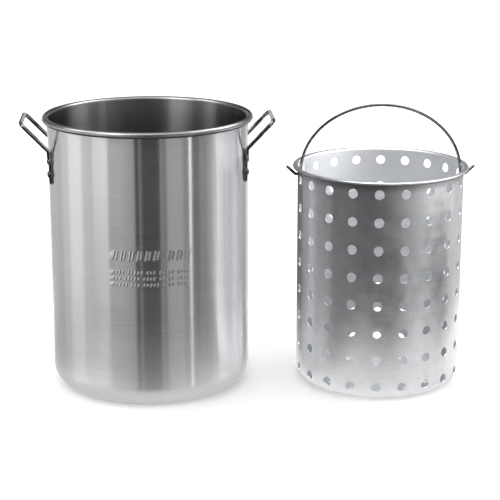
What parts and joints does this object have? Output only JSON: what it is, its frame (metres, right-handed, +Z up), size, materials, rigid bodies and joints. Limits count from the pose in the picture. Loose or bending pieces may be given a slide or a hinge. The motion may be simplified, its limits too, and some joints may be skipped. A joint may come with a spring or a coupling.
{
  "type": "turkey fryer pot and basket",
  "caption": "Tall aluminium stock pot with riveted wire side handles and a rolled rim, beside its perforated strainer basket with a swinging wire bail.",
  "frame": {"origin": "centre of the pot's underside, on the surface that the pot and the basket both stand on", "axes": "+Z up along the pot's axis; +X from the pot towards the basket and through the bail's pivots; -Y is the front, and the pot's handles are turned 2.5 degrees from X"},
  "size_m": [0.7761, 0.3576, 0.4849],
  "materials": {
    "pot_aluminium": "satin, fine circumferential polishing lines",
    "basket_aluminium": "duller satin, perforated",
    "handle_wire": "bright plated steel rod",
    "rivet": "bright plated steel",
    "bail_wire": "bright plated steel wire"
  },
  "bodies": {
    "pot": {"pot_shell": "pot_aluminium", "handle_right": "handle_wire", "handle_left": "handle_wire", "rivet_right_front_lower": "rivet", "rivet_right_front_upper": "rivet", "rivet_right_rear_lower": "rivet", "rivet_right_rear_upper": "rivet", "rivet_left_front_lower": "rivet", "rivet_left_front_upper": "rivet", "rivet_left_rear_lower": "rivet", "rivet_left_rear_upper": "rivet"},
    "basket": {"basket_shell": "basket_aluminium"},
    "bail": {"bail": "bail_wire"}
  },
  "joints": [
    {"name": "basket_lift", "type": "slide", "parent": "pot", "child": "basket", "axis": [0, 0, 1], "range_m": [0, 0.52]},
    {"name": "bail_swing", "type": "hinge", "parent": "basket", "child": "bail", "pos_m": [0.3975, 0, 0.3635], "axis": [1, 0, 0], "range_deg": [-180, 180]}
  ]
}
